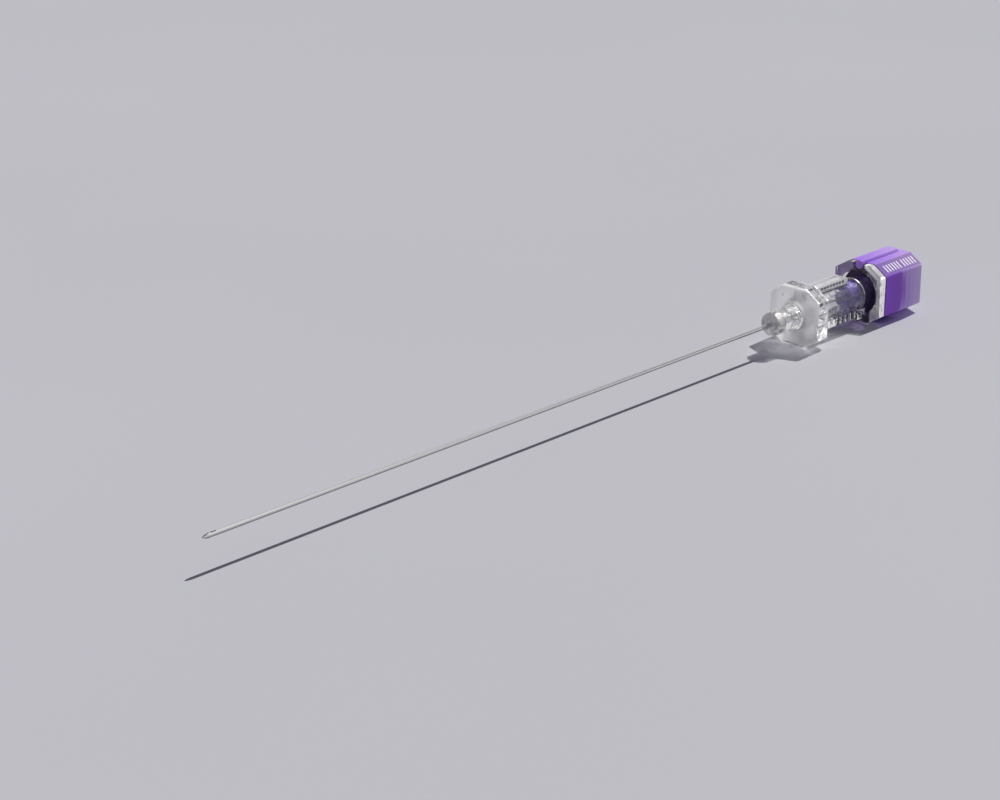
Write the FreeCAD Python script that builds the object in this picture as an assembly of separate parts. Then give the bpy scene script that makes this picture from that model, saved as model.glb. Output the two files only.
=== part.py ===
import FreeCAD
import Part
import math
import os

# A 24 gauge spinal needle lying on its side: a steel tube with a pencil point and a side eye,
# bonded into a clear hub, with a removable stylet whose coloured handle plugs the hub.
# Lengths are in millimetres. X runs along the needle from the tip to the handle, and Z is up.
# The origin is on the needle's axis, where the steel tube leaves the front of the hub.

# Steel tube
CANNULA_LENGTH = 90.0
CANNULA_DIAMETER = 0.55
LUMEN_DIAMETER = 0.36
POINT_LENGTH = 1.0
POINT_TIP_RADIUS = 0.05
EYE_SETBACK = 0.1
EYE_LENGTH = 0.75
EYE_WIDTH = 0.24

# Stylet wire
WIRE_CLEARANCE = 0.02
WIRE_END_GAP = 0.6
WIRE_HOLD = 4.2

# Hub nose, and the well that takes the adhesive
NOSE_LENGTH = 4.5
NOSE_DIAMETER = 3.0
NOSE_DRAFT = 0.1
NOSE_RIM = 0.15
NOSE_FLARE = 0.55
WELL_DIAMETER = 1.9
WELL_DEPTH = 1.6
BOND_FILM = 0.01
ADHESIVE_DIP = 0.15

# Octagonal grip plate
PLATE_THICKNESS = 2.15
PLATE_WIDTH = 7.7
PLATE_HEIGHT = 7.7
PLATE_TOP_FLAT = 3.45
PLATE_SIDE_FLAT = 5.0
PLATE_EDGE_ROUND = 0.2

# Hub barrel with the conical socket
BARREL_LENGTH = 9.85
BARREL_DIAMETER = 4.4
BARREL_FLARE = 0.25
BARREL_RIM = 0.2
SOCKET_MOUTH_DIAMETER = 3.24
SOCKET_DEPTH = 8.0
SOCKET_TAPER = 0.05
CHAMBER_LENGTH = 1.6
CHAMBER_TIP_DIAMETER = 0.9
CANNULA_SEAT = 0.3

# Short fin above the barrel, and the fin below it, which carries the ring behind it
FIN_THICKNESS = 1.9
TOP_FIN_HEIGHT = 3.0
TOP_FIN_LENGTH = 7.4
BOTTOM_FIN_HEIGHT = 2.95
FOOT_DROP = 0.35
FLUTE_COUNT = 5
FLUTE_WIDTH = 0.45
FLUTE_DEPTH = 0.2
FLUTE_PITCH = 0.95
MARK_COUNT = 8
MARK_LENGTH = 0.32
MARK_HEIGHT = 0.3
MARK_PROUD = 0.12
MARK_PITCH = 0.6
MARK_START = 2.0

# Rear ring of the hub
RING_GAP = 1.05
RING_THICKNESS = 0.95
RING_BORE_DIAMETER = 5.9
RING_EDGE_ROUND = 0.12

# Stylet handle
SEAT_CLEARANCE = 0.05
HANDLE_LENGTH = 7.75
HANDLE_WIDTH = 7.4
HANDLE_TOP_FLAT = 3.5
HANDLE_SIDE_FLAT = 5.2
HANDLE_FRONT_ROUND = 0.1
HANDLE_EDGE_ROUND = 0.3
HANDLE_WALL = 0.95
POCKET_DEPTH = 3.2
COLLAR_DIAMETER = 3.9
COLLAR_BEVEL = 0.12
PLUG_LENGTH = 2.6
PLUG_CLEARANCE = 0.04
PLUG_NOSE = 0.25
KEY_RADIUS = 0.6
KEY_PROUD = 0.45
KEY_RIM = 0.12
KEY_CLEARANCE = 0.1
KEY_END_SETBACK = 0.7

# Places along the axis that follow from the sizes above
TIP_X = -CANNULA_LENGTH
POINT_SHOULDER_X = TIP_X + POINT_LENGTH
EYE_START_X = POINT_SHOULDER_X + EYE_SETBACK
PLATE_FRONT_X = NOSE_LENGTH
PLATE_MIDDLE_X = PLATE_FRONT_X + PLATE_THICKNESS / 2
PLATE_REAR_X = PLATE_FRONT_X + PLATE_THICKNESS
BARREL_END_X = PLATE_REAR_X + BARREL_LENGTH
SOCKET_FLOOR_X = BARREL_END_X - SOCKET_DEPTH
CHAMBER_TIP_X = SOCKET_FLOOR_X - CHAMBER_LENGTH
RING_FRONT_X = BARREL_END_X + RING_GAP
RING_REAR_X = RING_FRONT_X + RING_THICKNESS
HANDLE_FRONT_X = RING_REAR_X + SEAT_CLEARANCE
HANDLE_REAR_X = HANDLE_FRONT_X + HANDLE_LENGTH
COLLAR_FRONT_X = BARREL_END_X + SEAT_CLEARANCE
PLUG_TIP_X = BARREL_END_X - PLUG_LENGTH
KEY_FRONT_X = RING_FRONT_X + SEAT_CLEARANCE
CANNULA_END_X = CHAMBER_TIP_X - CANNULA_SEAT
WIRE_FRONT_X = POINT_SHOULDER_X + WIRE_END_GAP
WIRE_END_X = HANDLE_FRONT_X + WIRE_HOLD

CANNULA_RADIUS = CANNULA_DIAMETER / 2
LUMEN_RADIUS = LUMEN_DIAMETER / 2
WIRE_RADIUS = LUMEN_RADIUS - WIRE_CLEARANCE
KEY_HEIGHT = PLATE_HEIGHT / 2 + KEY_PROUD - KEY_RADIUS

AXIS = FreeCAD.Vector(1, 0, 0)


def point(x, y, z):
    return FreeCAD.Vector(x, y, z)


def rod(x_start, x_end, radius, z=0.0):
    """A round bar along X."""
    return Part.makeCylinder(radius, x_end - x_start, point(x_start, 0, z), AXIS)


def cone(x_start, x_end, radius_start, radius_end):
    """A straight taper along X, centred on the axis."""
    return Part.makeCone(radius_start, radius_end, x_end - x_start, point(x_start, 0, 0), AXIS)


def block(x_start, x_end, y_start, y_end, z_start, z_end):
    """A rectangular block between two corners."""
    return Part.makeBox(x_end - x_start, y_end - y_start, z_end - z_start, point(x_start, y_start, z_start))


def turned(profile):
    """A solid of revolution about the axis, from a closed list of edges in the XZ plane."""
    face = Part.Face(Part.Wire(profile))
    return face.revolve(point(0, 0, 0), AXIS, 360)


def line(start, end):
    return Part.LineSegment(start, end).toShape()


def arc(start, middle, end):
    return Part.Arc(start, middle, end).toShape()


def octagon_wire(x, width, height, top_flat, side_flat, inset=0.0):
    """An octagon across the axis: flat at the top, the bottom and both sides, sloping between."""
    half_width = width / 2 - inset
    half_height = height / 2 - inset
    half_top = top_flat / 2 - inset / 2
    half_side = side_flat / 2 - inset / 2
    right = [(half_top, half_height), (half_width, half_side), (half_width, -half_side), (half_top, -half_height)]
    left = [(-y, z) for y, z in reversed(right)]
    corners = [point(x, y, z) for y, z in right + left]
    return Part.makePolygon(corners + corners[:1])


def octagon_block(x_start, x_end, sizes, edge_round, front_round):
    """An octagonal prism with rounded edges. The front edges may be sharper than the others."""
    block = Part.Face(octagon_wire(x_start, *sizes)).extrude(point(x_end - x_start, 0, 0))
    others = [edge for edge in block.Edges if edge.BoundBox.XMax > x_start + edge_round]
    block = block.makeFillet(edge_round, others)
    front = [edge for edge in block.Edges if edge.BoundBox.XMax < x_start + front_round / 2]
    return block.makeFillet(front_round, front)


def rim_arc(x_face, radius, rim, direction):
    """Quarter-round edges of a turned part, from its end face out to its side."""
    slack = rim * (1 - math.sqrt(0.5))
    start = point(x_face, 0, radius - rim)
    middle = point(x_face + direction * slack, 0, radius - slack)
    return arc(start, middle, point(x_face + direction * rim, 0, radius))


def flare_arc(x_plate, radius, flare, direction):
    """Hollow curve by which a round part grows out of the plate, from the plate to its side."""
    slack = flare * (1 - math.sqrt(0.5))
    start = point(x_plate, 0, radius + flare)
    middle = point(x_plate + direction * slack, 0, radius + slack)
    return arc(start, middle, point(x_plate + direction * flare, 0, radius))


def socket_radius(x):
    """Radius of the conical socket at a place along the axis."""
    return SOCKET_MOUTH_DIAMETER / 2 - (BARREL_END_X - x) * SOCKET_TAPER / 2


def make_cannula():
    """Steel tube, closed by a rounded pencil point, with an elongated eye in its upper wall."""
    tip_radius = POINT_TIP_RADIUS
    reach = POINT_LENGTH - tip_radius
    ogive_radius = (reach ** 2 + CANNULA_RADIUS ** 2 - tip_radius ** 2) / (2 * (CANNULA_RADIUS - tip_radius))
    drop = ogive_radius - CANNULA_RADIUS
    blend_angle = math.atan2(drop, reach)
    shoulder_angle = math.pi / 2

    def on_tip(angle):
        x = TIP_X + tip_radius - tip_radius * math.cos(angle)
        return point(x, 0, tip_radius * math.sin(angle))

    def on_ogive(angle):
        x = POINT_SHOULDER_X - ogive_radius * math.cos(angle)
        return point(x, 0, ogive_radius * math.sin(angle) - drop)

    tip = on_tip(0)
    blend = on_tip(blend_angle)
    shoulder = on_ogive(shoulder_angle)
    rear = point(CANNULA_END_X, 0, CANNULA_RADIUS)
    profile = [
        arc(tip, on_tip(blend_angle / 2), blend),
        arc(blend, on_ogive((blend_angle + shoulder_angle) / 2), shoulder),
        line(shoulder, rear),
        line(rear, point(CANNULA_END_X, 0, 0)),
        line(point(CANNULA_END_X, 0, 0), tip),
    ]
    tube = turned(profile).cut(rod(POINT_SHOULDER_X, CANNULA_END_X, LUMEN_RADIUS))
    half = EYE_WIDTH / 2
    eye_end_x = EYE_START_X + EYE_LENGTH
    slot = block(EYE_START_X + half, eye_end_x - half, -half, half, 0, CANNULA_DIAMETER)
    for x in (EYE_START_X + half, eye_end_x - half):
        slot = slot.fuse(Part.makeCylinder(half, CANNULA_DIAMETER, point(x, 0, 0)))
    return tube.cut(slot).removeSplitter()


def make_wire():
    """Stylet wire: fills the tube as far as the eye and is held in the handle."""
    nose_radius = WIRE_RADIUS / 2
    return rod(WIRE_FRONT_X + nose_radius, WIRE_END_X, WIRE_RADIUS).fuse(
        cone(WIRE_FRONT_X, WIRE_FRONT_X + nose_radius, nose_radius, WIRE_RADIUS)).removeSplitter()


def make_nose():
    """Front of the hub: a slightly tapered round nose that flares into the plate."""
    front_radius = NOSE_DIAMETER / 2
    base_radius = front_radius + NOSE_DRAFT
    plate_radius = base_radius + NOSE_FLARE
    well_rim = point(0, 0, WELL_DIAMETER / 2)
    root = [
        point(PLATE_FRONT_X, 0, plate_radius),
        point(PLATE_MIDDLE_X, 0, plate_radius),
        point(PLATE_MIDDLE_X, 0, 0),
        point(0, 0, 0),
        well_rim,
        point(0, 0, front_radius - NOSE_RIM),
    ]
    edges = [
        rim_arc(0, front_radius, NOSE_RIM, 1),
        line(point(NOSE_RIM, 0, front_radius), point(PLATE_FRONT_X - NOSE_FLARE, 0, base_radius)),
        flare_arc(PLATE_FRONT_X, base_radius, NOSE_FLARE, -1),
    ]
    return turned(edges + [line(a, b) for a, b in zip(root, root[1:])])


def make_barrel():
    """Round body behind the plate, with a rounded rim."""
    radius = BARREL_DIAMETER / 2
    plate_radius = radius + BARREL_FLARE
    root = [
        point(PLATE_REAR_X, 0, plate_radius),
        point(PLATE_MIDDLE_X, 0, plate_radius),
        point(PLATE_MIDDLE_X, 0, 0),
        point(BARREL_END_X, 0, 0),
        point(BARREL_END_X, 0, radius - BARREL_RIM),
    ]
    edges = [
        flare_arc(PLATE_REAR_X, radius, BARREL_FLARE, 1),
        line(point(PLATE_REAR_X + BARREL_FLARE, 0, radius), point(BARREL_END_X - BARREL_RIM, 0, radius)),
        rim_arc(BARREL_END_X, radius, BARREL_RIM, -1),
    ]
    return turned(edges + [line(a, b) for a, b in zip(root, root[1:])])


def make_fins():
    """Short fin above the barrel, and one below it that runs on to the rear ring."""
    half = FIN_THICKNESS / 2
    ring_middle_x = RING_FRONT_X + RING_THICKNESS / 2
    top = block(PLATE_MIDDLE_X, PLATE_REAR_X + TOP_FIN_LENGTH, -half, half, 0, TOP_FIN_HEIGHT)
    bottom = block(PLATE_MIDDLE_X, ring_middle_x, -half, half, -BOTTOM_FIN_HEIGHT, 0)
    foot = block(BARREL_END_X, ring_middle_x, -half, half, -BOTTOM_FIN_HEIGHT - FOOT_DROP, 0)
    flute_x = BARREL_END_X - FLUTE_WIDTH
    for index in range(FLUTE_COUNT):
        x = flute_x - index * FLUTE_PITCH
        for side in (-1, 1):
            y = side * half
            groove = block(x, x + FLUTE_WIDTH, y - FLUTE_DEPTH, y + FLUTE_DEPTH, -PLATE_HEIGHT / 2, 0)
            bottom = bottom.cut(groove)
    return top.fuse(bottom).fuse(foot).cut(rod(BARREL_END_X, RING_REAR_X, BARREL_DIAMETER / 2))


def make_marks():
    """A plain row of small bars that stand out on both sides of the upper fin."""
    half = FIN_THICKNESS / 2 + MARK_PROUD
    first_x = PLATE_REAR_X + MARK_START
    z = TOP_FIN_HEIGHT - MARK_HEIGHT - MARK_PROUD
    bars = []
    for index in range(MARK_COUNT):
        x = first_x + index * MARK_PITCH
        bars.append(block(x, x + MARK_LENGTH, -half, half, z, z + MARK_HEIGHT))
    return bars


def make_ring():
    """Octagonal ring behind the barrel, with a round bore and a notch for the handle's key."""
    sizes = (HANDLE_WIDTH, PLATE_HEIGHT, HANDLE_TOP_FLAT, HANDLE_SIDE_FLAT)
    ring = octagon_block(RING_FRONT_X, RING_REAR_X, sizes, RING_EDGE_ROUND, RING_EDGE_ROUND)
    slot_radius = KEY_RADIUS + KEY_CLEARANCE
    ring = ring.cut(rod(RING_FRONT_X, RING_REAR_X, RING_BORE_DIAMETER / 2))
    ring = ring.cut(rod(RING_FRONT_X, RING_REAR_X, slot_radius, z=KEY_HEIGHT))
    return ring.cut(block(RING_FRONT_X, RING_REAR_X, -slot_radius, slot_radius, KEY_HEIGHT, PLATE_HEIGHT))


def make_hub():
    """Clear hub in one moulding: nose, grip plate, barrel with its socket, fins and rear ring."""
    sizes = (PLATE_WIDTH, PLATE_HEIGHT, PLATE_TOP_FLAT, PLATE_SIDE_FLAT)
    hub = octagon_block(PLATE_FRONT_X, PLATE_REAR_X, sizes, PLATE_EDGE_ROUND, PLATE_EDGE_ROUND)
    for piece in [make_nose(), make_barrel(), make_fins(), make_ring()] + make_marks():
        hub = hub.fuse(piece)
    hub = hub.cut(cone(SOCKET_FLOOR_X, BARREL_END_X, socket_radius(SOCKET_FLOOR_X), SOCKET_MOUTH_DIAMETER / 2))
    hub = hub.cut(cone(CHAMBER_TIP_X, SOCKET_FLOOR_X, CHAMBER_TIP_DIAMETER / 2, socket_radius(SOCKET_FLOOR_X)))
    hub = hub.cut(rod(0, CANNULA_END_X, CANNULA_RADIUS + BOND_FILM))
    hub = hub.cut(rod(CANNULA_END_X, CHAMBER_TIP_X, LUMEN_RADIUS))
    hub = hub.cut(rod(0, WELL_DEPTH, WELL_DIAMETER / 2))
    return hub.removeSplitter()


def make_adhesive():
    """Bead that bonds the tube into the well of the nose, with a dished front."""
    outer = WELL_DIAMETER / 2 - BOND_FILM
    inner = CANNULA_RADIUS
    back_x = WELL_DEPTH - BOND_FILM
    low_x = ADHESIVE_DIP
    high_x = BOND_FILM
    inner_front = point(high_x, 0, inner)
    outer_front = point(high_x, 0, outer)
    edges = [
        arc(inner_front, point(low_x, 0, (inner + outer) / 2), outer_front),
        line(outer_front, point(back_x, 0, outer)),
        line(point(back_x, 0, outer), point(back_x, 0, inner)),
        line(point(back_x, 0, inner), inner_front),
    ]
    return turned(edges)


def make_handle():
    """Stylet handle in one moulding: body, collar, plug for the socket, and key ridge."""
    sizes = (HANDLE_WIDTH, PLATE_HEIGHT, HANDLE_TOP_FLAT, HANDLE_SIDE_FLAT)
    body = octagon_block(HANDLE_FRONT_X, HANDLE_REAR_X, sizes, HANDLE_EDGE_ROUND, HANDLE_FRONT_ROUND)
    pocket_wire = octagon_wire(HANDLE_REAR_X - POCKET_DEPTH, *sizes, inset=HANDLE_WALL)
    pocket = Part.Face(pocket_wire).extrude(point(POCKET_DEPTH, 0, 0))
    key_end_x = HANDLE_REAR_X - KEY_END_SETBACK
    key = rod(KEY_FRONT_X, key_end_x - KEY_RADIUS, KEY_RADIUS, z=KEY_HEIGHT)
    key = key.makeFillet(KEY_RIM, [edge for edge in key.Edges if edge.BoundBox.XMax < KEY_FRONT_X + KEY_RIM])
    key = key.fuse(Part.makeSphere(KEY_RADIUS, point(key_end_x - KEY_RADIUS, 0, KEY_HEIGHT)))
    plug_base = socket_radius(BARREL_END_X) - PLUG_CLEARANCE
    plug_tip = socket_radius(PLUG_TIP_X) - PLUG_CLEARANCE
    collar_radius = COLLAR_DIAMETER / 2
    collar_edge_x = COLLAR_FRONT_X + COLLAR_BEVEL
    handle = body.fuse(key)
    handle = handle.cut(pocket)
    handle = handle.fuse(rod(collar_edge_x, HANDLE_FRONT_X + HANDLE_WALL, collar_radius))
    handle = handle.fuse(cone(COLLAR_FRONT_X, collar_edge_x, collar_radius - COLLAR_BEVEL, collar_radius))
    handle = handle.fuse(cone(PLUG_TIP_X + PLUG_NOSE, COLLAR_FRONT_X, plug_tip, plug_base))
    handle = handle.fuse(cone(PLUG_TIP_X, PLUG_TIP_X + PLUG_NOSE, plug_tip - PLUG_NOSE, plug_tip))
    handle = handle.cut(rod(PLUG_TIP_X, WIRE_END_X, WIRE_RADIUS))
    return handle.removeSplitter()


def save(name, shape):
    """Write one piece to its own file, as a single solid."""
    solids = shape.Solids
    assert len(solids) == 1 and shape.isValid(), name + " is not one valid solid"
    solids[0].exportStep(os.path.join("parts", name + ".step"))
    box = solids[0].BoundBox
    print(name, "volume", round(solids[0].Volume, 3), "x", round(box.XMin, 3), round(box.XMax, 3),
          "y", round(box.YMin, 3), round(box.YMax, 3), "z", round(box.ZMin, 3), round(box.ZMax, 3))


os.makedirs("parts", exist_ok=True)
save("cannula", make_cannula())
save("stylet_wire", make_wire())
save("hub", make_hub())
save("adhesive", make_adhesive())
save("stylet_handle", make_handle())
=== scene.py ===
import math
from types import SimpleNamespace

import bpy
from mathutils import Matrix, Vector


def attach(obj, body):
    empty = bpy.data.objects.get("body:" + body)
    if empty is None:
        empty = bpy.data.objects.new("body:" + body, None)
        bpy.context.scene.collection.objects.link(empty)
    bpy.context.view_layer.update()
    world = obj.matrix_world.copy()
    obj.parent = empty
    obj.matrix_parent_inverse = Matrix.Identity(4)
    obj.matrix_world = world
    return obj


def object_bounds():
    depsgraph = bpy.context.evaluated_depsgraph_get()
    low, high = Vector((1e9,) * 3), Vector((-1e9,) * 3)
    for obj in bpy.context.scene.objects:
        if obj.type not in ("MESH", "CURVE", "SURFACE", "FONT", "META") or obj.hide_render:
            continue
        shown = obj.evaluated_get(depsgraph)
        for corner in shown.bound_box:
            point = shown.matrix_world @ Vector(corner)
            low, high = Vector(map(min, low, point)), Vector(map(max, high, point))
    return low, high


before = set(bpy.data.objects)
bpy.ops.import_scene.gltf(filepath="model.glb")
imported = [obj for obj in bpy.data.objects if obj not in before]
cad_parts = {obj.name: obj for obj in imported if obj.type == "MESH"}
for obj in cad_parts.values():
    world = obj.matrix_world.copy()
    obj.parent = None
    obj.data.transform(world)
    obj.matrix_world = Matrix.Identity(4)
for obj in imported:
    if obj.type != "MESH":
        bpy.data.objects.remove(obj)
cad_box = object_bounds()

MM = 0.001
FULL = (0.0, 1.0)
SQUARE = ((-1, -1), (1, -1), (1, 1), (-1, 1))

# Places in the materials are in millimetres: x runs along the needle from the front of the hub's
# nose to the handle, z is up, and the near side, which the photograph shows, has negative y.
# A pair of places is the start and end of a form, or where a look begins and where it is full.


class Tree:
    """The node tree of a material or of the world, with short ways to add nodes."""

    def __init__(self, owner, output_kind):
        owner.use_nodes = True
        self.nodes = owner.node_tree.nodes
        self.links = owner.node_tree.links
        self.nodes.clear()
        self.output = self.nodes.new(output_kind)

    def fill(self, socket, value):
        """Links a node's output to a socket, or sets a plain number or colour on it."""
        if isinstance(value, Field):
            value = value.socket
        if isinstance(value, bpy.types.NodeSocket):
            self.links.new(value, socket)
        elif socket.type == "RGBA":
            socket.default_value = (*value, 1.0)
        else:
            socket.default_value = value

    def add(self, kind, inputs, **settings):
        """Adds a node, with its settings and with a value or a link for each input given."""
        node = self.nodes.new(kind)
        for name, setting in settings.items():
            setattr(node, name, setting)
        for name, value in inputs.items():
            self.fill(node.inputs[name], value)
        return node

    def shader(self, kind, inputs):
        """Adds a surface shader."""
        return self.add(kind, inputs).outputs["BSDF"]

    def object_place(self):
        """Place in the object's own coordinates, in metres."""
        return self.add("ShaderNodeTexCoord", {}).outputs["Object"]

    def places(self):
        """Place as three fields, one along each axis, in millimetres."""
        split = self.add("ShaderNodeSeparateXYZ", {"Vector": self.object_place()})
        return [Field(self, split.outputs[axis]) * (1 / MM) for axis in "XYZ"]

    def noise(self, scales, detail, roughness=0.5):
        """Noise over the object's own coordinates, with a scale per metre along each axis."""
        mapping = self.add("ShaderNodeMapping", {"Vector": self.object_place(), "Scale": scales})
        texture = self.add("ShaderNodeTexNoise", {
            "Vector": mapping.outputs["Vector"],
            "Scale": 1.0,
            "Detail": detail,
            "Roughness": roughness,
        })
        return Field(self, texture.outputs["Fac"])

    def light_path(self, fact):
        """One fact about the ray of light that meets the surface."""
        return Field(self, self.add("ShaderNodeLightPath", {}).outputs[fact])

    def finish(self, surface):
        """Makes a shader the one that is seen."""
        self.links.new(surface, self.output.inputs["Surface"])


class Field:
    """A number that varies over a surface. Arithmetic on fields adds math nodes."""

    def __init__(self, tree, socket):
        self.tree = tree
        self.socket = socket

    def apply(self, operation, other=0.0):
        """The result of one math node."""
        node = self.tree.add("ShaderNodeMath", {0: self, 1: other}, operation=operation)
        return Field(self.tree, node.outputs["Value"])

    def __add__(self, other):
        return self.apply("ADD", other)

    def __sub__(self, other):
        return self.apply("SUBTRACT", other)

    def __mul__(self, other):
        return self.apply("MULTIPLY", other)

    def __truediv__(self, other):
        return self.apply("DIVIDE", other)

    def __abs__(self):
        return self.apply("ABSOLUTE")

    def spread(self, source, target):
        """Maps one range of the field evenly onto another, and holds it at the ends."""
        node = self.tree.add("ShaderNodeMapRange", {
            "Value": self,
            "From Min": source[0],
            "From Max": source[1],
            "To Min": target[0],
            "To Max": target[1],
        })
        return Field(self.tree, node.outputs["Result"])

    def rise(self, source, top=1.0):
        """From nought below a range to the top value above it."""
        return self.spread(source, (0.0, top))

    def fall(self, source, top=1.0):
        """From the top value below a range to nought above it."""
        return self.spread(source, (top, 0.0))

    def between(self, span, soft):
        """One inside a span, nought outside it, with soft ends."""
        start, end = span
        return self.rise((start - soft, start + soft)) * self.fall((end - soft, end + soft))

    def colours(self, *stops):
        """A colour that changes with the field, from (value, colour) stops."""
        node = self.tree.add("ShaderNodeValToRGB", {"Fac": self})
        elements = node.color_ramp.elements
        while len(elements) < len(stops):
            elements.new(0.5)
        for element, (place, colour) in zip(elements, stops):
            element.position = place
            element.color = (*colour, 1.0)
        return node.outputs["Color"]

    def relief(self, strength, distance):
        """The surface's normal, with the field as a height on it."""
        node = self.tree.add("ShaderNodeBump", {
            "Height": self,
            "Strength": strength,
            "Distance": distance,
        })
        return node.outputs["Normal"]


def most(first, *others):
    """The highest of several fields."""
    for other in others:
        first = first.apply("MAXIMUM", other)
    return first


def length_of(first, second):
    """Length of the sum of two crossing lengths."""
    return (first * first + second * second).apply("SQRT")


def past_slope(across, high, facing, reach):
    """How far a place lies out past a slope that faces across and upward."""
    return across * facing[0] + high * facing[1] - reach


def mix_colours(factor, first, second):
    """The first colour where the factor is nought, the second where it is one."""
    tree = factor.tree
    blend = tree.add("ShaderNodeMix", {0: factor}, data_type="RGBA")
    sockets = [socket for socket in blend.inputs if socket.type == "RGBA"]
    tree.fill(sockets[0], first)
    tree.fill(sockets[1], second)
    return [socket for socket in blend.outputs if socket.type == "RGBA"][0]


def mix_shaders(tree, factor, first, second):
    """The first shader where the factor is nought, the second where it is one."""
    return tree.add("ShaderNodeMixShader", {"Fac": factor, 1: first, 2: second}).outputs["Shader"]


def new_material(name):
    """An empty node material and its tree, ready for shaders."""
    material = bpy.data.materials.new(name)
    return material, Tree(material, "ShaderNodeOutputMaterial")


def lets_sun_through(tree, surface, colour):
    """The surface, with sunlight of a colour passing through it to what it covers."""
    open_way = tree.shader("ShaderNodeBsdfTransparent", {"Color": colour})
    return mix_shaders(tree, tree.light_path("Is Shadow Ray"), surface, open_way)


def sun_share(share):
    """Colour of the sunlight that passes clear plastic, from a bluish black to all of it."""
    return share.colours((0.0, (0.0, 0.0, 0.02)), (1.0, (1.0, 1.0, 1.0)))


# Steel: its colours above and below, the one below a painted shade, its drawn lines, and how far
# upward it faces at each look
TUBE_COLOUR = (0.70, 0.69, 0.69)
TUBE_PAINTED_SHADE = (0.24, 0.24, 0.25)
TUBE_ROUGHNESS = 0.12
WIRE_COLOUR = (0.40, 0.40, 0.40)
WIRE_PAINTED_SHADE = (0.28, 0.28, 0.28)
WIRE_ROUGHNESS = 0.2
UNEVEN_ROUGHNESS = 0.1
DRAWN_LINES = (900.0, 26000.0, 26000.0)
DRAWN_LINE_HEIGHT = 0.0004
SHADE_EDGE_RUFFLE = 0.2
# Painted shade on the underside, below these facings
PAINTED_SHADE_FACING = (-0.16, 0.04)
# A painted dark reflection along a line between these facings, fading in towards the hub
PAINTED_REFLECTION_FACING = (0.56, 0.80)
PAINTED_REFLECTION_FADE = (-42.0, -20.0)
PAINTED_REFLECTION_STRENGTH = 0.8
POINT = (-89.05, -88.98)
# Painted shade on top of the point
POINT_SHADE_FACING = (0.6, 0.8)
POINT_SHADE_COLOURS = ((0.0, (0.06, 0.06, 0.07)), (1.0, (0.11, 0.11, 0.12)))
POINT_ROUGHNESS = 0.4
MIRROR_LEAN = -0.10


def steel(name, upper_colour, lower_shade_colour, roughness):
    """Drawn steel, with painted shade underneath and on top of the point, and a painted dark
    reflection along a line near the hub.
    """
    material, tree = new_material(name)
    x, y, z = tree.places()
    lines = tree.noise(DRAWN_LINES, detail=3.0)
    upward = z / length_of(y, z)
    shade_edge_place = upward + lines * SHADE_EDGE_RUFFLE
    # Painted shade on the underside, its edge ruffled by the drawn lines
    body = shade_edge_place.rise(PAINTED_SHADE_FACING).colours((0.0, lower_shade_colour), (1.0, upper_colour))
    # A painted dark reflection along a line near the hub
    along_line = x.rise(PAINTED_REFLECTION_FADE, top=PAINTED_REFLECTION_STRENGTH)
    painted_reflection_line = upward.between(PAINTED_REFLECTION_FACING, soft=0.04) * along_line
    point = x.fall(POINT)
    # Painted shade on top of the point
    point_shade = point * upward.rise(POINT_SHADE_FACING)
    shaded_steel = mix_colours(point_shade, mix_colours(painted_reflection_line, body, lower_shade_colour),
                         lines.colours(*POINT_SHADE_COLOURS))
    smoother, rougher = roughness * (1 - UNEVEN_ROUGHNESS), roughness * (1 + UNEVEN_ROUGHNESS)
    surface_height = lines * DRAWN_LINE_HEIGHT + x * MIRROR_LEAN
    tree.finish(tree.shader("ShaderNodeBsdfPrincipled", {
        "Metallic": 0.85,
        "Base Color": shaded_steel,
        "Roughness": most(lines.spread(FULL, (smoother, rougher)), point * POINT_ROUGHNESS),
        "Normal": surface_height.relief(strength=1.0, distance=MM),
    }))
    return material


# Clear hub: stretches along the needle
NOSE = (-1.0, 4.3)
NOSE_FACE = (0.02, 0.06)
PLATE = (4.3, 6.8)
PLATE_FACE = (4.3, 4.56)
PLATE_FRONT_RIM = (4.4, 4.8)
PLATE_REAR_RIM = (6.33, 6.75)
FIN = (6.7, 14.3)
FIN_GLEAM_FADE = (8.1, 8.3)
RAISED_BARS = (7.0, 7.1)
FLUTES = (6.9, 12.3)
FLUTE_PITCH = 0.95
BARREL = (7.5, 16.9)
BARREL_FRONT = (7.5, 12.5)
BARREL_END = (16.2, 16.8)
RING = (17.3, 19.0)
NOTCH = (17.4, 18.6)

# Clear hub: heights above the needle's line
FIN_FOOT_HEIGHT = (2.15, 2.25)
FIN_TOP_HEIGHT = (2.94, 2.98)
RAISED_BARS_HEIGHT = (2.55, 2.95)
FLUTES_HEIGHT = (-3.0, -2.05)
PLATE_GLEAM_HEIGHT = (-0.5, 2.5)
PLATE_PATCHES_HEIGHT = (-1.4, -0.6)
PLATE_FOOT_HEIGHT = (-2.6, -1.9)
BARREL_END_HEIGHT = (0.2, 1.2)
RING_CORNER_HEIGHT = (-1.3, -0.9)
NOTCH_HEIGHT = 3.7
PLATE_DARK_SPOT_HEIGHT = 2.42
GLINT_HEIGHT = 1.95

# Clear hub: distances sideways, outward or past a slope
PLATE_HALF = 3.85
PLATE_CHAMFER_FACING = (0.55, 0.835)
PLATE_CHAMFER_REACH = 4.165
PLATE_RIM_EDGE = (-0.26, -0.2)
PLATE_SPOT_SIDE = 1.8
PLATE_SPOT_EDGE = (0.119, 0.221)
RAISED_BARS_SIDE = (0.99, 1.3)
FLUTES_SIDE = (0.85, 0.9)
BARREL_END_ROUND = (1.7, 1.8)
RING_HALF = 3.7
RING_SLOPE_FACING = (-0.54, 0.842)
RING_SLOPE_REACH = 4.19
RING_SLOPE_EDGE = (-0.3, -0.2)
RING_RIM_EDGE = (-0.9, -0.6)
RING_SIDE = (-3.55, -3.45)
RING_CORNER_SIDE = (-2.2, -2.0)
NOTCH_GAP = (0.66, 0.95)

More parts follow.
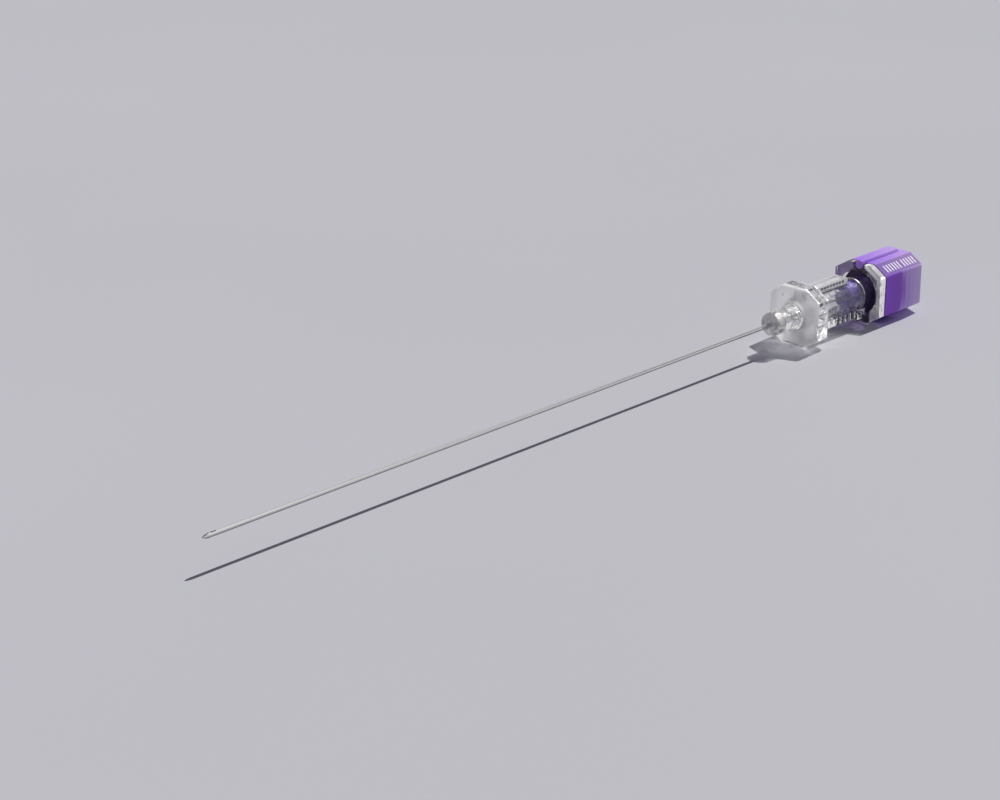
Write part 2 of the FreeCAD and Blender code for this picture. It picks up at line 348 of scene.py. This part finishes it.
# Clear hub: scales of its textures per metre, and how much they raise its surface
RIPPLE = (700.0, 700.0, 700.0)
SWELL = (600.0, 1300.0, 1300.0)
CRINKLE = (1100.0, 1900.0, 1500.0)
BRUSHING = (1.0, 700.0, 90.0)
PLATE_SWELL = 3.0
BARREL_SWELL = 4.0
NOSE_SWELL = 3.0
RING_CRINKLE = 3.0

# Clear hub: texture values between which each look sets in
PLATE_PATCH_EDGE = (0.42, 0.55)
BARREL_FRONT_PATCH_EDGE = (0.52, 0.58)
BARREL_REAR_PATCH_EDGE = (0.50, 0.55)
FLAKE_EDGE = (0.54, 0.66)
BRUSHING_EDGE = (0.38, 0.6)
RING_FROST_EDGE = (0.35, 0.5)
RING_PATCH_EDGE = (0.42, 0.56)
SUN_EDGE = (0.40, 0.58)

# Clear hub: how strong each look is, from nought to one
PLATE_PATCHES = 0.6
BARREL_FRONT_PATCHES = 0.1
BARREL_REAR_PATCHES = 0.45
PLATE_DARK_SPOT_STRENGTH = 0.6
PLATE_GLEAM = (0.1, 0.7)
CHAMFER_GLEAM = 0.25
BARREL_END_GLEAM = 0.9
FIN_GLEAM = 0.9
GLINT = 0.5
RING_GLEAM = (0.1, 0.75)
FLAKES = 0.4
BARREL_FLAKES = 0.45
NOSE_FACE_FROST = 0.32
PLATE_FACE_FROST = (0.3, 0.56)
PLATE_FOOT_FROST = 0.2
FIN_FROST = 0.45
RING_FROST = (0.8, 1.0)
RING_SLOPE_FROST = 0.6
SUN_PASSED = (0.25, 0.62)
PLATE_SUN_PASSED = 0.85

# Clear hub: its shaders
CLEAR_COLOUR = (0.985, 0.985, 0.985)
# The dark tint of painted shade in the clear plastic
HUB_PAINTED_SHADE_COLOUR = (0.06, 0.05, 0.08)
CLEAR_ROUGHNESS = (0.01, 0.04)
PLATE_ROUGHNESS = 0.1
PLATE_FACE_ROUGHNESS = 0.46
FROST_COLOUR = (0.99, 0.98, 0.97)
FROST_ROUGHNESS = 0.4
FROST_LETS_THROUGH = 0.05
GLEAM_COLOUR = (1.0, 1.0, 1.0)
GLEAM_ROUGHNESS = 0.35
UPWARD_LEAN = -0.6


def hub_fields(tree):
    """Places, textures and main forms of the hub, as the fields that its look is made from."""
    x, y, z = tree.places()
    plate = x.between(PLATE, soft=0.1)
    return SimpleNamespace(
        x=x,
        y=y,
        z=z,
        sideways=abs(y),
        ripple=tree.noise(RIPPLE, detail=2.0),
        swell=tree.noise(SWELL, detail=1.0),
        crinkle=tree.noise(CRINKLE, detail=3.0, roughness=0.6),
        brushing=tree.noise(BRUSHING, detail=2.0),
        nose=x.between(NOSE, soft=0.1),
        plate=plate,
        plate_face=x.between(PLATE_FACE, soft=0.03),
        plate_foot=plate * z.fall(PLATE_FOOT_HEIGHT, top=PLATE_FOOT_FROST),
        fin=x.between(FIN, soft=0.1) * z.rise(FIN_FOOT_HEIGHT),
        barrel=x.between(BARREL, soft=0.6),
        barrel_front=x.between(BARREL_FRONT, soft=0.6),
        ring=x.between(RING, soft=0.1),
        ring_slope=past_slope(y, z, RING_SLOPE_FACING, RING_SLOPE_REACH),
        ring_corner=z.fall(RING_CORNER_HEIGHT) * y.fall(RING_CORNER_SIDE),
    )


def plate_spot(hub, height):
    """A small round spot on the face of the plate."""
    away = length_of(hub.y - PLATE_SPOT_SIDE, hub.z - height)
    return away.fall(PLATE_SPOT_EDGE) * hub.plate_face


def plate_rims(hub):
    """The rounded rims of the grip plate, brightest on the upper half."""
    high = abs(hub.z)
    sides = most(hub.sideways, high) - PLATE_HALF
    chamfers = past_slope(hub.sideways, high, PLATE_CHAMFER_FACING, PLATE_CHAMFER_REACH)
    rim = most(sides.rise(PLATE_RIM_EDGE), chamfers.rise(PLATE_RIM_EDGE, top=CHAMFER_GLEAM))
    front = hub.x.between(PLATE_FRONT_RIM, soft=0.03)
    rear = hub.x.between(PLATE_REAR_RIM, soft=0.03)
    return rim * hub.z.spread(PLATE_GLEAM_HEIGHT, PLATE_GLEAM) * most(front, rear)


def bright_edges(hub):
    """What catches the light: the plate's rims, the ends of barrel and fin, and a small glint."""
    barrel_end = hub.x.between(BARREL_END, soft=0.03) * length_of(hub.y, hub.z).rise(BARREL_END_ROUND)
    upper_end = barrel_end * hub.z.rise(BARREL_END_HEIGHT, top=BARREL_END_GLEAM)
    fin_start = hub.fin * hub.x.fall(FIN_GLEAM_FADE, top=FIN_GLEAM)
    return most(plate_rims(hub), upper_end, fin_start, plate_spot(hub, GLINT_HEIGHT) * GLINT)


def bent_light_patches(hub):
    """Dark patches, such as the bending of light makes in thick clear plastic."""
    plate_side = hub.plate * hub.plate_face.fall(FULL)
    plate_patches = hub.crinkle.rise(PLATE_PATCH_EDGE, top=PLATE_PATCHES)
    foot = plate_side * plate_patches * hub.z.fall(PLATE_PATCHES_HEIGHT)
    front = hub.barrel_front * hub.crinkle.rise(BARREL_FRONT_PATCH_EDGE, top=BARREL_FRONT_PATCHES)
    barrel_rear = hub.barrel - hub.barrel_front
    rear = barrel_rear * hub.swell.rise(BARREL_REAR_PATCH_EDGE, top=BARREL_REAR_PATCHES)
    return most(front, rear, foot)


def raised_bars_shade(hub):
    """Painted shade on the row of small bars that stand out on both sides of the upper fin."""
    height = hub.z.between(RAISED_BARS_HEIGHT, soft=0.02)
    return height * hub.sideways.between(RAISED_BARS_SIDE, soft=0.01) * hub.x.rise(RAISED_BARS)


def notch_gap_shade(hub):
    """Painted shade in the gap between the handle's key and the ring's notch."""
    from_key = length_of(hub.y, hub.z - NOTCH_HEIGHT)
    return hub.x.between(NOTCH, soft=0.05) * from_key.between(NOTCH_GAP, soft=0.02)


def painted_shade_places(hub):
    """Everything painted dark in the clear plastic: painted shade, and the dark of bent light."""
    # A small dark spot on the plate's face
    plate_dark_spot = plate_spot(hub, PLATE_DARK_SPOT_HEIGHT) * PLATE_DARK_SPOT_STRENGTH
    return most(bent_light_patches(hub), raised_bars_shade(hub), plate_dark_spot, notch_gap_shade(hub))


def hub_normal(hub):
    """Ripples all over, slow swells on nose, plate and barrel, quick crinkles on ring and fin."""
    plate_side = hub.plate - hub.plate_face
    moulded = most(plate_side * PLATE_SWELL, hub.barrel * BARREL_SWELL, hub.nose * NOSE_SWELL)
    slow = hub.swell * moulded
    quick = hub.crinkle * most(hub.ring * RING_CRINKLE, hub.fin)
    return (hub.ripple + (slow + quick)).relief(strength=0.3, distance=0.05 * MM)


def ring_frost(hub):
    """Where the ring looks white: its rim, thinner on the slope, and its lower near corner."""
    near_side = hub.y * -1.0 - RING_HALF
    rim = most(near_side, hub.ring_slope).rise(RING_RIM_EDGE)
    thinner = hub.ring_slope.spread(RING_SLOPE_EDGE, (1.0, RING_SLOPE_FROST))
    uneven = hub.crinkle.spread(RING_FROST_EDGE, RING_FROST)
    return hub.ring * thinner * most(rim, hub.ring_corner) * uneven


def frosted_places(hub):
    """How milky the plastic is: least at the plate's foot, most on the ring."""
    flaked = most(hub.nose, hub.barrel_front * BARREL_FLAKES)
    flakes = flaked * hub.crinkle.rise(FLAKE_EDGE, top=FLAKES)
    plate_face = hub.plate_face * hub.brushing.spread(BRUSHING_EDGE, PLATE_FACE_FROST)
    nose_face = hub.x.fall(NOSE_FACE) * NOSE_FACE_FROST
    fin = hub.fin * FIN_FROST
    return most(hub.plate_foot, flakes, plate_face, fin, nose_face, ring_frost(hub))


def matt_places(hub):
    """Where the frost scatters light instead of mirroring it."""
    fin_top = hub.fin * hub.z.rise(FIN_TOP_HEIGHT)
    return most(hub.plate_foot, fin_top, hub.ring_slope.rise(RING_SLOPE_EDGE))


def flute_bars(hub):
    """Bright upright bars along both sides of the lower fin."""
    side = hub.z.between(FLUTES_HEIGHT, soft=0.02) * hub.sideways.rise(FLUTES_SIDE)
    step = (hub.x / FLUTE_PITCH).apply("FRACT")
    return side * hub.x.between(FLUTES, soft=0.05) * step.apply("LESS_THAN", 0.5)


def ring_patches(hub):
    """Bright crinkled patches on the near side of the ring and on its lower corner."""
    patches = hub.crinkle.spread(RING_PATCH_EDGE, RING_GLEAM)
    return hub.ring * patches * most(hub.y.fall(RING_SIDE), hub.ring_corner)


def frost(tree, normal, matt):
    """White surface that mirrors its surround, or scatters it where matt, and glows a little."""
    mirror = tree.shader("ShaderNodeBsdfGlossy", {
        "Color": FROST_COLOUR,
        "Roughness": FROST_ROUGHNESS,
        "Normal": normal,
    })
    scatter = tree.shader("ShaderNodeBsdfDiffuse", {"Color": FROST_COLOUR, "Normal": normal})
    back = tree.shader("ShaderNodeBsdfTranslucent", {"Color": FROST_COLOUR})
    return mix_shaders(tree, FROST_LETS_THROUGH, mix_shaders(tree, matt, mirror, scatter), back)


def gleam(tree, normal):
    """A white gloss that catches the light."""
    return tree.shader("ShaderNodeBsdfGlossy", {
        "Color": GLEAM_COLOUR,
        "Roughness": GLEAM_ROUGHNESS,
        "Normal": normal,
    })


def clear_glass(tree, hub, normal, painted_shade):
    """The plastic without its frost, satin on the grip plate and darker where shade is painted."""
    satin = most(hub.plate * PLATE_ROUGHNESS, hub.plate_face * PLATE_FACE_ROUGHNESS)
    return tree.shader("ShaderNodeBsdfPrincipled", {
        "Transmission Weight": 1.0,
        "IOR": 1.56,
        "Specular IOR Level": 0.35,
        "Base Color": painted_shade.colours((0.0, CLEAR_COLOUR), (1.0, HUB_PAINTED_SHADE_COLOUR)),
        "Roughness": most(hub.ripple.spread(FULL, CLEAR_ROUGHNESS), satin),
        "Normal": normal,
    })


def clear_plastic():
    """Clear moulded plastic, milky in places, bright on its edges, and with painted shade in places.
    """
    material, tree = new_material("clear_plastic")
    hub = hub_fields(tree)
    normal = hub_normal(hub)
    # Painted shade and the dark of bent light
    painted_shade = painted_shade_places(hub)
    milky = painted_shade.fall(FULL) * frosted_places(hub)
    surface = mix_shaders(tree, milky, clear_glass(tree, hub, normal, painted_shade),
                          frost(tree, normal, matt_places(hub)))
    surface = mix_shaders(tree, bright_edges(hub), surface, gleam(tree, normal))
    upturned = (hub.z * UPWARD_LEAN).relief(strength=1.0, distance=MM)
    upright = most(flute_bars(hub), ring_patches(hub))
    surface = mix_shaders(tree, upright, surface, gleam(tree, upturned))
    passed = hub.crinkle.spread(SUN_EDGE, SUN_PASSED) * hub.plate.spread(FULL, (1.0, PLATE_SUN_PASSED))
    tree.finish(lets_sun_through(tree, surface, sun_share(passed)))
    return material


# Adhesive
ADHESIVE_RIPPLE = (1800.0, 1800.0, 1800.0)
ADHESIVE_COLOURS = ((0.35, (0.86, 0.83, 0.88)), (0.65, (0.98, 0.96, 0.98)))
ADHESIVE_ROUGHNESS = (0.1, 0.35)
ADHESIVE_SUN_PASSED = (0.3, 0.6)


def clear_adhesive():
    """Cured adhesive, a little milky and grey against the plastic round it."""
    material, tree = new_material("clear_adhesive")
    ripple = tree.noise(ADHESIVE_RIPPLE, detail=3.0)
    surface = tree.shader("ShaderNodeBsdfPrincipled", {
        "Transmission Weight": 0.5,
        "IOR": 1.5,
        "Base Color": ripple.colours(*ADHESIVE_COLOURS),
        "Roughness": ripple.spread(FULL, ADHESIVE_ROUGHNESS),
        "Normal": ripple.relief(strength=0.4, distance=0.05 * MM),
    })
    passed = ripple.spread(FULL, ADHESIVE_SUN_PASSED)
    tree.finish(lets_sun_through(tree, surface, sun_share(passed)))
    return material


# Purple handle: places along the needle
PLUG_END = (16.4, 16.6)
KEY_END = (17.7, 17.8)
HANDLE_SHADOW_START = (18.58, 18.64)
HANDLE_FRONT = (18.6, 18.64)
HANDLE_BODY = (18.55, 26.3)

# Purple handle: heights, distances sideways and outward, and how its bands of painted light and shade
# run
HANDLE_TOP_HEIGHT = (2.55, 2.75)
FLAT_TOP_LEAN = 0.6
FLAT_TOP_EDGE = (2.72, 2.82)
KEY_HEIGHT = (2.95, 3.05)
KEY_SIDE = (0.62, 0.68)
# Where the painted shade behind the ring is lighter
LIGHTER_SHADE_HEIGHT = (0.5, 1.2)
LIGHTER_SHADE_SIDE = (-0.9, -0.6)
LIGHTER_SHADE_ROUND = (2.95, 3.05)
LIGHT_BAND_BEND = 9.0
LIGHT_BAND_WAVER = (-0.24, 0.24)
STREAKS = (2400.0, 40.0, 40.0)
GRAIN = (9000.0, 9000.0, 9000.0)
HANDLE_ROUGHNESS = (0.38, 0.52)

# Purple handle: colours of its body from front to rear, the plastic's purple with painted light and
# shade, and of what meets the hub, in painted shade
# Painted light and shade: each face of the body has its own lit or shaded copy of the purple, paler
# towards the rear where light shines through the thin walls
SIDE_LIGHT_AND_SHADE = (
    (0.0, (0.33, 0.085, 0.80)),
    (0.30, (0.28, 0.085, 0.64)),
    (0.48, (0.30, 0.11, 0.66)),
    (0.56, (0.50, 0.31, 0.80)),
    (1.0, (0.68, 0.55, 0.90)),
)
SLOPE_LIGHT_AND_SHADE = ((0.2, (0.17, 0.07, 0.41)), (1.0, (0.28, 0.16, 0.46)))
FLAT_LIGHT_AND_SHADE = ((0.2, (0.33, 0.15, 0.74)), (1.0, (0.47, 0.29, 0.76)))
# Painted light on the key's end, which faces away from the sun
KEY_END_PAINTED_LIGHT = ((0.0, (0.33, 0.15, 0.74)), (1.0, (0.50, 0.27, 0.95)))
# Painted shade behind the ring, lighter high on the far side, and painted shade on the plug
BEHIND_RING_PAINTED_SHADE = ((0.0, (0.055, 0.035, 0.10)), (1.0, (0.36, 0.24, 0.58)))
PLUG_PAINTED_SHADE = ((0.3, (0.07, 0.006, 0.36)), (0.7, (0.10, 0.015, 0.48)))
HANDLE_SHADOW_COLOURS = ((0.0, (0.72, 0.70, 0.78)), (1.0, (0.26, 0.20, 0.38)))


def handle_body_light_and_shade(x, y, z, streaks):
    """The plastic's purple in streaked bands of painted light and shade on the sides, the slopes and
    the flat top, with painted light making it paler over the cored rear.
    """
    height = z / LIGHT_BAND_BEND
    # Painted light through the thin walls of the cored rear, its edge bent with height and wavered by
    # the streaks
    toward_lit_rear = x.rise(HANDLE_BODY) + height * height + streaks.spread(FULL, LIGHT_BAND_WAVER)
    flat = (y * FLAT_TOP_LEAN + z).rise(FLAT_TOP_EDGE)
    top = mix_colours(flat, toward_lit_rear.colours(*SLOPE_LIGHT_AND_SHADE), toward_lit_rear.colours(*FLAT_LIGHT_AND_SHADE))
    return mix_colours(z.rise(HANDLE_TOP_HEIGHT), toward_lit_rear.colours(*SIDE_LIGHT_AND_SHADE), top)


def handle_meeting_shade(x, y, z, streaks):
    """Painted shade where the handle meets the hub: deep purple on the plug, nearly black behind the
    ring, and paler high on the far side.
    """
    lighter_shade = y.rise(LIGHTER_SHADE_SIDE) * length_of(y, z).rise(LIGHTER_SHADE_ROUND) * z.rise(LIGHTER_SHADE_HEIGHT)
    # Painted shade behind the ring
    shade_behind_ring = lighter_shade.colours(*BEHIND_RING_PAINTED_SHADE)
    return mix_colours(x.rise(PLUG_END), streaks.colours(*PLUG_PAINTED_SHADE), shade_behind_ring)


def handle_colour(x, y, z):
    """Colour of the body and the key, with painted light on the key's end, and of the parts in front
    of them.
    """
    streaks = x.tree.noise(STREAKS, detail=4.0, roughness=0.65)
    key = z.rise(KEY_HEIGHT) * abs(y).fall(KEY_SIDE)
    key_end = key * x.fall(KEY_END)
    body = handle_body_light_and_shade(x, y, z, streaks)
    # Painted light on the key's end
    body = mix_colours(key_end, body, key_end.colours(*KEY_END_PAINTED_LIGHT))
    return mix_colours(most(x.rise(HANDLE_FRONT), key), handle_meeting_shade(x, y, z, streaks), body)


def purple_plastic():
    """Satin purple moulding, with painted shade where it meets the hub and painted light and shade on
    its body.
    """
    material, tree = new_material("purple_plastic")
    x, y, z = tree.places()
    grain = tree.noise(GRAIN, detail=2.0)
    surface = tree.shader("ShaderNodeBsdfPrincipled", {
        "Base Color": handle_colour(x, y, z),
        "Roughness": grain.spread(FULL, HANDLE_ROUGHNESS),
        "Normal": grain.relief(strength=0.15, distance=0.01 * MM),
        "IOR": 1.45,
        "Specular IOR Level": 0.3,
        "Subsurface Weight": 0.2,
        "Subsurface Radius": (0.6, 0.4, 1.0),
        "Subsurface Scale": 0.8 * MM,
    })
    shadow = x.rise(HANDLE_SHADOW_START).colours(*HANDLE_SHADOW_COLOURS)
    tree.finish(lets_sun_through(tree, surface, shadow))
    return material


# Print on the handle's near upper slope: strokes in groups, each with its start and its count
PRINT_MIDDLE = Vector((22.35, -2.725, 3.225)) * MM
PRINT_ALONG = Vector((1.0, 0.0, 0.0))
PRINT_ACROSS = Vector((0.0, -1.95, -1.25)).normalized()
PRINT_OUTWARD = Vector((0.0, -1.25, 1.95)).normalized()
STROKE_LENGTH = 0.22
STROKE_WIDTH = 1.15
STROKE_THICKNESS = 0.012
STROKE_PITCH = 0.55
STROKE_GROUPS = ((-2.7, 6), (0.9, 5))
INK_BLOTCHES = (6000.0, 6000.0, 6000.0)
INK_COLOURS = ((0.35, (0.84, 0.76, 0.90)), (0.65, (0.95, 0.90, 0.98)))


def white_ink():
    """Printed ink, a little uneven."""
    material, tree = new_material("white_ink")
    tree.finish(tree.shader("ShaderNodeBsdfPrincipled", {
        "Base Color": tree.noise(INK_BLOTCHES, detail=2.0).colours(*INK_COLOURS),
        "Roughness": 0.6,
    }))
    return material


def add_mesh(name, corners, faces, material):
    """A new mesh object with one material."""
    mesh = bpy.data.meshes.new(name)
    mesh.from_pydata(corners, [], faces)
    mesh.materials.append(material)
    piece = bpy.data.objects.new(name, mesh)
    bpy.context.collection.objects.link(piece)
    return piece


def add_stroke(corners, faces, centre):
    """Adds the corners and faces of one thin printed bar, centred at a place along the print."""
    first = len(corners)
    for height in (0.0, STROKE_THICKNESS * MM):
        for end, side in SQUARE:
            along = PRINT_ALONG * (centre + end * STROKE_LENGTH / 2) * MM
            across = PRINT_ACROSS * (side * STROKE_WIDTH / 2) * MM
            corners.append(PRINT_MIDDLE + along + across + PRINT_OUTWARD * height)
    faces.append([first + 4, first + 5, first + 6, first + 7])
    faces.append([first + 3, first + 2, first + 1, first])
    for corner in range(4):
        after = (corner + 1) % 4
        faces.append([first + corner, first + after, first + 4 + after, first + 4 + corner])


def make_print():
    """Plain strokes in two groups, which ride on the handle."""
    corners, faces = [], []
    for start, count in STROKE_GROUPS:
        for index in range(count):
            add_stroke(corners, faces, start + index * STROKE_PITCH)
    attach(add_mesh("handle_print", corners, faces, white_ink()), "stylet")


# Floor, with its half size in metres
FLOOR_HALF = 3.0
FLOOR_COLOUR = (0.522, 0.521, 0.560)
FLOOR_DARKER = 0.985
FLOOR_PALER = 1.01
FLOOR_MOTTLE = (9.0, 9.0, 9.0)


def floor_material():
    """Plain pale table top with the faintest mottle."""
    material, tree = new_material("floor")
    darker = tuple(part * FLOOR_DARKER for part in FLOOR_COLOUR)
    paler = tuple(part * FLOOR_PALER for part in FLOOR_COLOUR)
    tree.finish(tree.shader("ShaderNodeBsdfPrincipled", {
        "Base Color": tree.noise(FLOOR_MOTTLE, detail=2.0).colours((0.3, darker), (0.7, paler)),
        "Roughness": 0.9,
        "Specular IOR Level": 0.0,
    }))
    return material


def make_floor():
    """The table under the needle."""
    floor_z = cad_box[0][2]
    corners = [(FLOOR_HALF * x, FLOOR_HALF * y, floor_z) for x, y in SQUARE]
    add_mesh("floor", corners, [(0, 1, 2, 3)], floor_material())


# Camera, worked out from the needle, its shadow and the grip plate in the photograph
CAMERA_PLACE = Vector((-237.8, -188.4, 107.0)) * MM
CAMERA_HEADING = math.radians(44.70)
CAMERA_DIP = math.radians(21.20)
CAMERA_LENS = 93.3
CAMERA_SENSOR = 36.0
CAMERA_NEAREST = 0.01

# Sun: hard, and from behind the handle
SUN_HEADING = math.radians(184.2)
SUN_DIP = math.radians(55.8)
SUN_STRENGTH = 3.1
SUN_COLOUR = (1.0, 0.99, 0.965)
SUN_ANGLE = math.radians(0.5)


def direction(heading, dip):
    """A direction along a heading, tilted down from level."""
    return Vector((
        math.cos(heading) * math.cos(dip),
        math.sin(heading) * math.cos(dip),
        -math.sin(dip),
    ))


def add_holder(name, held, look):
    """An object that holds a camera or a light, turned to face along a direction."""
    holder = bpy.data.objects.new(name, held)
    bpy.context.collection.objects.link(holder)
    holder.rotation_euler = look.to_track_quat("-Z", "Y").to_euler()
    return holder


def make_camera():
    """The photograph's camera."""
    camera = bpy.data.cameras.new("camera")
    camera.lens = CAMERA_LENS
    camera.sensor_width = CAMERA_SENSOR
    camera.clip_start = CAMERA_NEAREST
    holder = add_holder("camera", camera, direction(CAMERA_HEADING, CAMERA_DIP))
    holder.location = CAMERA_PLACE
    bpy.context.scene.camera = holder


def make_sun():
    """The only lamp."""
    sun = bpy.data.lights.new("sun", "SUN")
    sun.energy = SUN_STRENGTH
    sun.color = SUN_COLOUR
    sun.angle = SUN_ANGLE
    add_holder("sun", sun, direction(SUN_HEADING, SUN_DIP))


# Sky: a weak bluish fill, and the pale room with a window and panes that shiny surfaces see
SKY_COLOUR = (0.18, 0.18, 0.215)
ROOM_COLOUR = (0.56, 0.56, 0.59)
WINDOW_COLOUR = (1.0, 1.0, 0.985)
WINDOW_HEADING = Vector((-0.55, 0.35, 0.75)).normalized()
WINDOW_EDGE = (0.8, 0.84)
PANE_SCALE = 2.6
PANE_EDGE = (0.5, 0.56)


def background(tree, colour):
    """Light of a colour from all round."""
    return tree.add("ShaderNodeBackground", {"Color": colour}).outputs["Background"]


def room_colour(tree):
    """The room's colour in each direction, with one window and scattered bright panes."""
    heading = tree.add("ShaderNodeTexCoord", {}).outputs["Generated"]
    texture = tree.add("ShaderNodeTexNoise", {
        "Vector": heading,
        "Scale": PANE_SCALE,
        "Detail": 1.0,
    })
    facing = tree.add("ShaderNodeVectorMath", {0: heading, 1: WINDOW_HEADING}, operation="DOT_PRODUCT")
    window = Field(tree, facing.outputs["Value"]).rise(WINDOW_EDGE)
    panes = Field(tree, texture.outputs["Fac"]).rise(PANE_EDGE)
    return most(window, panes).colours((0.0, ROOM_COLOUR), (1.0, WINDOW_COLOUR))


def make_sky():
    """The fill for what is matt, the room for what shines or bends light, and a plain backdrop."""
    world = bpy.data.worlds.new("sky")
    bpy.context.scene.world = world
    tree = Tree(world, "ShaderNodeOutputWorld")
    shiny = most(tree.light_path("Is Glossy Ray"), tree.light_path("Is Transmission Ray"))
    direct = tree.light_path("Diffuse Depth").apply("LESS_THAN", 0.5)
    fill = background(tree, SKY_COLOUR)
    room = background(tree, room_colour(tree))
    backdrop = background(tree, FLOOR_COLOUR)
    surround = mix_shaders(tree, shiny * direct, fill, room)
    tree.finish(mix_shaders(tree, tree.light_path("Is Camera Ray"), surround, backdrop))


def dress(node, material):
    """Gives a CAD piece its material."""
    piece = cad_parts[node]
    if not piece.material_slots:
        piece.data.materials.append(None)
    for slot in piece.material_slots:
        slot.material = material


dress("cannula", steel("tube_steel", TUBE_COLOUR, TUBE_PAINTED_SHADE, TUBE_ROUGHNESS))
dress("stylet_wire", steel("wire_steel", WIRE_COLOUR, WIRE_PAINTED_SHADE, WIRE_ROUGHNESS))
dress("hub", clear_plastic())
dress("adhesive", clear_adhesive())
dress("stylet_handle", purple_plastic())

make_print()
make_floor()
make_camera()
make_sun()
make_sky()
bpy.context.scene.view_settings.view_transform = "Standard"
